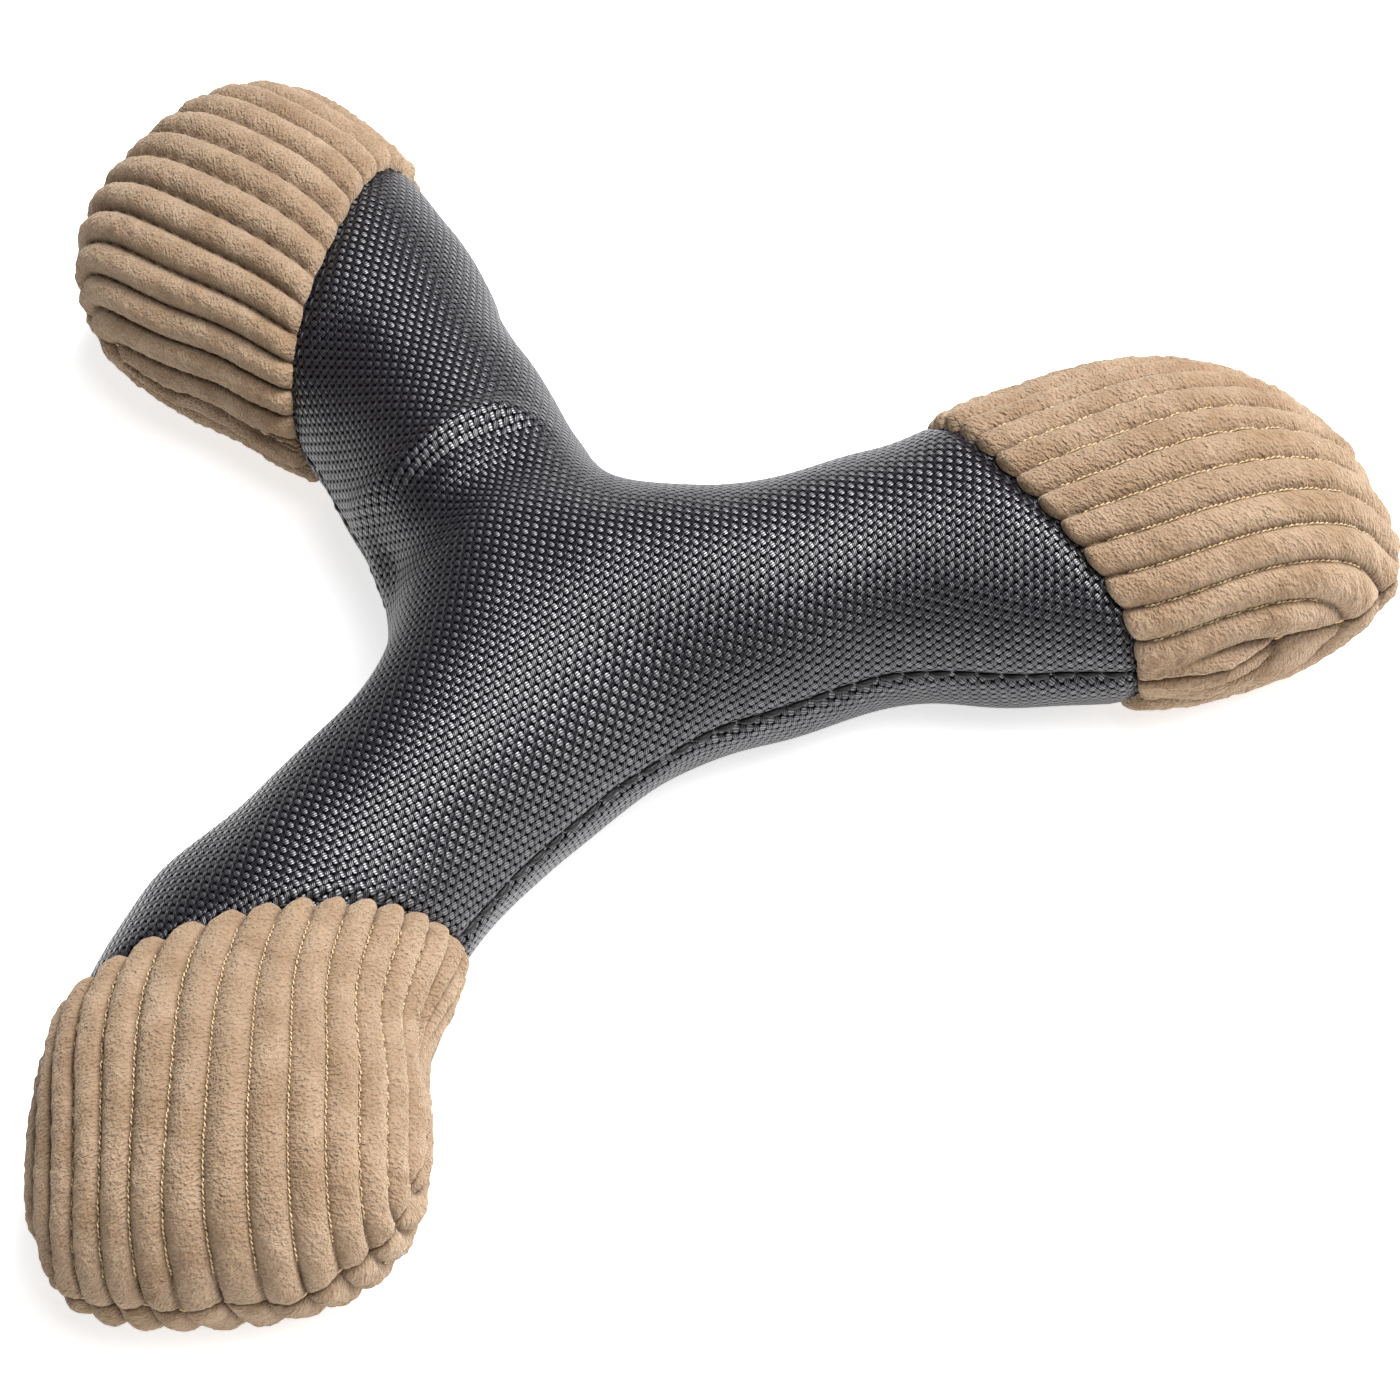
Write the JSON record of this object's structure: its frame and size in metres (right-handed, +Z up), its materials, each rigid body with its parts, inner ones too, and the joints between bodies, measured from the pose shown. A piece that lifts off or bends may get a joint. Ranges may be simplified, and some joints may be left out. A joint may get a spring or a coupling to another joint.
{
  "type": "squeaky dog toy",
  "caption": "Stuffed pinwheel-shaped squeaky dog toy, with a woven nylon hub and sleeves and a wide-wale corduroy cap on each arm.",
  "frame": {"origin": "centre of the hub, where the arms' axes meet, on the plane of the side seam", "axes": "+Z up out of the toy as it lies, along the axis that the arms are spaced round; +X out along the root of arm 1"},
  "size_m": [0.2543, 0.2712, 0.0559],
  "materials": {
    "nylon": "satin",
    "corduroy": "matte",
    "dark_thread": "satin",
    "tan_thread": "matte",
    "fibre": "matte",
    "polythene": "satin",
    "reed_film": "gloss"
  },
  "bodies": {
    "hub": {"nylon_top_panel": "nylon", "nylon_bottom_panel": "nylon", "hub_fill_upper": "fibre", "hub_fill_lower": "fibre", "squeaker_cup": "polythene", "squeaker_plug": "polythene", "side_seam_thread_1": "dark_thread", "side_seam_thread_2": "dark_thread", "side_seam_thread_3": "dark_thread"},
    "arm_1": {"arm_fill_1": "fibre", "cord_cap_top_1": "corduroy", "cord_cap_bottom_1": "corduroy", "cap_rim_thread_1": "tan_thread", "cap_seam_thread_1": "dark_thread"},
    "arm_2": {"arm_fill_2": "fibre", "cord_cap_top_2": "corduroy", "cord_cap_bottom_2": "corduroy", "cap_rim_thread_2": "tan_thread", "cap_seam_thread_2": "dark_thread"},
    "arm_3": {"arm_fill_3": "fibre", "cord_cap_top_3": "corduroy", "cord_cap_bottom_3": "corduroy", "cap_rim_thread_3": "tan_thread", "cap_seam_thread_3": "dark_thread"},
    "bulb_dome": {"squeaker_dome": "polythene"},
    "reed": {"squeaker_reed": "reed_film"}
  },
  "joints": [
    {"name": "arm_1_bend", "type": "hinge", "parent": "hub", "child": "arm_1", "pos_m": [0.055, 0, 0], "axis": [0, -1, 0], "range_deg": [-25, 25], "stiffness_Nm_per_rad": 1.5, "deforming": ["nylon_top_panel", "nylon_bottom_panel", "side_seam_thread_1", "side_seam_thread_3"]},
    {"name": "arm_2_bend", "type": "hinge", "parent": "hub", "child": "arm_2", "pos_m": [-0.0275, 0.04763, 0], "axis": [0.866, 0.5, 0], "range_deg": [-25, 25], "stiffness_Nm_per_rad": 1.5, "deforming": ["nylon_top_panel", "nylon_bottom_panel", "side_seam_thread_1", "side_seam_thread_2"]},
    {"name": "arm_3_bend", "type": "hinge", "parent": "hub", "child": "arm_3", "pos_m": [-0.0275, -0.04763, 0], "axis": [-0.866, 0.5, 0], "range_deg": [-25, 25], "stiffness_Nm_per_rad": 1.5, "deforming": ["nylon_top_panel", "nylon_bottom_panel", "side_seam_thread_2", "side_seam_thread_3"]},
    {"name": "bulb_squeeze", "type": "slide", "parent": "hub", "child": "bulb_dome", "axis": [0, 0, -1], "range_m": [0, 0.006], "stiffness_N_per_m": 800},
    {"name": "reed_flutter", "type": "hinge", "parent": "hub", "child": "reed", "pos_m": [-0.0032, 0, -0.0045], "axis": [0, -1, 0], "range_deg": [0, 8], "stiffness_Nm_per_rad": 0.0002}
  ]
}
